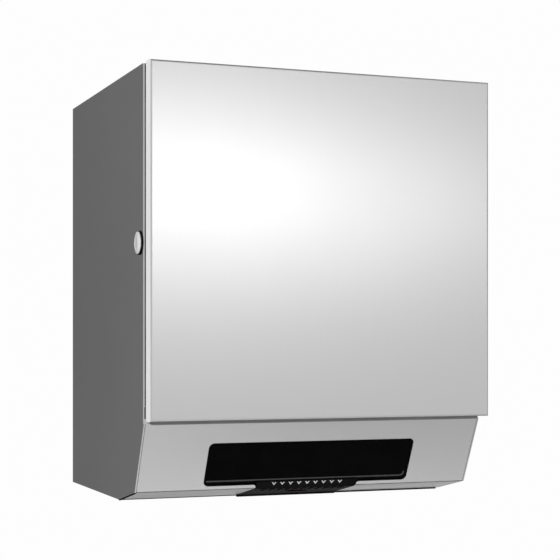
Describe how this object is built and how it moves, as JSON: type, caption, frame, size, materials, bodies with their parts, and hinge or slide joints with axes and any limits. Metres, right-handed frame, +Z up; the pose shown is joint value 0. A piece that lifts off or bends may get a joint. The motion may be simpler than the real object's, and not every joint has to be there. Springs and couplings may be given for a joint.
{
  "type": "automatic roll towel dispenser",
  "caption": "Wall-mounted stainless towel dispenser: side-hinged locking door, sprung roll arms, and a battery-driven roller feed behind a black window with an outlet lip.",
  "frame": {"origin": "centre of the four wall holes, on the back face that lies against the wall", "axes": "+X to the viewer's right, +Y back into the wall, +Z up"},
  "size_m": [0.3285, 0.27, 0.376],
  "materials": {
    "stainless": "satin brushed stainless sheet",
    "zinc_steel": "zinc plated pressed steel",
    "bright_steel": "bright plated",
    "black_plastic": "moulded black, fine texture",
    "black_gloss": "polished black",
    "white_plastic": "moulded white",
    "rubber": "ground rubber",
    "lens": "dark red infrared window",
    "brass": "machined",
    "bronze": "sintered",
    "circuit": "green solder mask",
    "electronics": "moulded component bodies",
    "cell_wrap": "plain printed wrap"
  },
  "bodies": {
    "cabinet": {"back_plate": "stainless", "top_panel": "stainless", "side_panel_left": "stainless", "side_panel_right": "stainless", "bottom_panel": "stainless", "lower_apron": "stainless", "hinge_leaf_cabinet": "zinc_steel", "hinge_pin": "bright_steel", "hinge_rivets_cabinet": "bright_steel", "door_bumpers": "rubber", "lock_body": "bright_steel", "lock_clip": "zinc_steel", "roll_bracket": "zinc_steel", "bracket_screws": "bright_steel", "roll_arm_left": "zinc_steel", "hub_screw_left": "bright_steel", "arm_pin": "bright_steel", "arm_spring": "bright_steel", "module_side_left": "black_plastic", "module_side_right": "black_plastic", "module_floor": "black_plastic", "module_fasteners": "bright_steel", "tie_rods": "bright_steel", "module_front": "black_gloss", "outlet_lip": "black_plastic", "sensor_lens": "lens", "chute_wall": "black_plastic", "tear_bar": "stainless", "paper_guides": "black_plastic", "shaft_bushes": "bronze", "pinch_springs": "bright_steel", "idler_axle": "bright_steel", "drive_motor": "zinc_steel", "gear_plate": "zinc_steel", "control_board": "circuit", "board_parts": "electronics", "battery_box": "black_plastic", "batteries": "cell_wrap", "battery_contacts": "brass"},
    "door": {"door_panel": "stainless", "hinge_leaf_door": "zinc_steel", "hinge_rivets_door": "bright_steel", "lock_keeper": "zinc_steel"},
    "lock_cylinder": {"lock_plug": "bright_steel", "lock_cam": "zinc_steel", "cam_screw": "bright_steel"},
    "left_hub": {"roll_hub_left": "white_plastic"},
    "right_arm": {"roll_arm_right": "zinc_steel", "hub_screw_right": "bright_steel"},
    "right_hub": {"roll_hub_right": "white_plastic"},
    "feed_roller": {"feed_shaft": "bright_steel", "feed_sleeves": "rubber", "feed_knob": "white_plastic", "feed_gear": "white_plastic"},
    "idler": {"idler_gear": "white_plastic"},
    "pinion": {"motor_pinion": "brass"},
    "pinch_carriage": {"pinch_bearings": "white_plastic"},
    "pinch_roll": {"pinch_shaft": "bright_steel", "pinch_sleeves": "rubber"},
    "battery_lid": {"battery_cover": "black_plastic"}
  },
  "joints": [
    {"name": "door_hinge", "type": "hinge", "parent": "cabinet", "child": "door", "pos_m": [0.1629, -0.255, 0.037], "axis": [0, 0, 1], "range_deg": [0, 135]},
    {"name": "lock_turn", "type": "hinge", "parent": "cabinet", "child": "lock_cylinder", "pos_m": [-0.16, -0.24, 0.037], "axis": [1, 0, 0], "range_deg": [0, 180]},
    {"name": "left_hub_spin", "type": "hinge", "parent": "cabinet", "child": "left_hub", "pos_m": [-0.1, -0.124, 0.052], "axis": [1, 0, 0], "continuous": true},
    {"name": "right_arm_swing", "type": "hinge", "parent": "cabinet", "child": "right_arm", "pos_m": [0.10705, -0.0142, 0.052], "axis": [0, 0, 1], "range_deg": [0, 12], "stiffness_Nm_per_rad": 0.4, "springref_deg": -34.38, "deforming": ["arm_spring"]},
    {"name": "right_hub_spin", "type": "hinge", "parent": "right_arm", "child": "right_hub", "pos_m": [0.1, -0.124, 0.052], "axis": [1, 0, 0], "continuous": true},
    {"name": "feed_spin", "type": "hinge", "parent": "cabinet", "child": "feed_roller", "pos_m": [0, -0.152, -0.14], "axis": [1, 0, 0], "continuous": true},
    {"name": "idler_spin", "type": "hinge", "parent": "cabinet", "child": "idler", "pos_m": [0.122, -0.12994, -0.11794], "axis": [1, 0, 0], "continuous": true},
    {"name": "pinion_spin", "type": "hinge", "parent": "cabinet", "child": "pinion", "pos_m": [0.122, -0.11074, -0.11794], "axis": [1, 0, 0], "continuous": true},
    {"name": "pinch_slide", "type": "slide", "parent": "cabinet", "child": "pinch_carriage", "axis": [0, -1, 0], "range_m": [0, 0.002], "stiffness_N_per_m": 800, "springref_m": -0.004, "deforming": ["pinch_springs"]},
    {"name": "pinch_spin", "type": "hinge", "parent": "pinch_carriage", "child": "pinch_roll", "pos_m": [0, -0.1754, -0.14], "axis": [1, 0, 0], "continuous": true},
    {"name": "battery_lid_hinge", "type": "hinge", "parent": "cabinet", "child": "battery_lid", "pos_m": [0, -0.008, -0.1491], "axis": [-1, 0, 0], "range_deg": [0, 85]}
  ],
  "couplings": [
    {"joint": "idler_spin", "follows": "feed_spin", "ratio": -1.6},
    {"joint": "pinion_spin", "follows": "feed_spin", "ratio": 2.6667},
    {"joint": "pinch_spin", "follows": "feed_spin", "ratio": -1.5556}
  ]
}
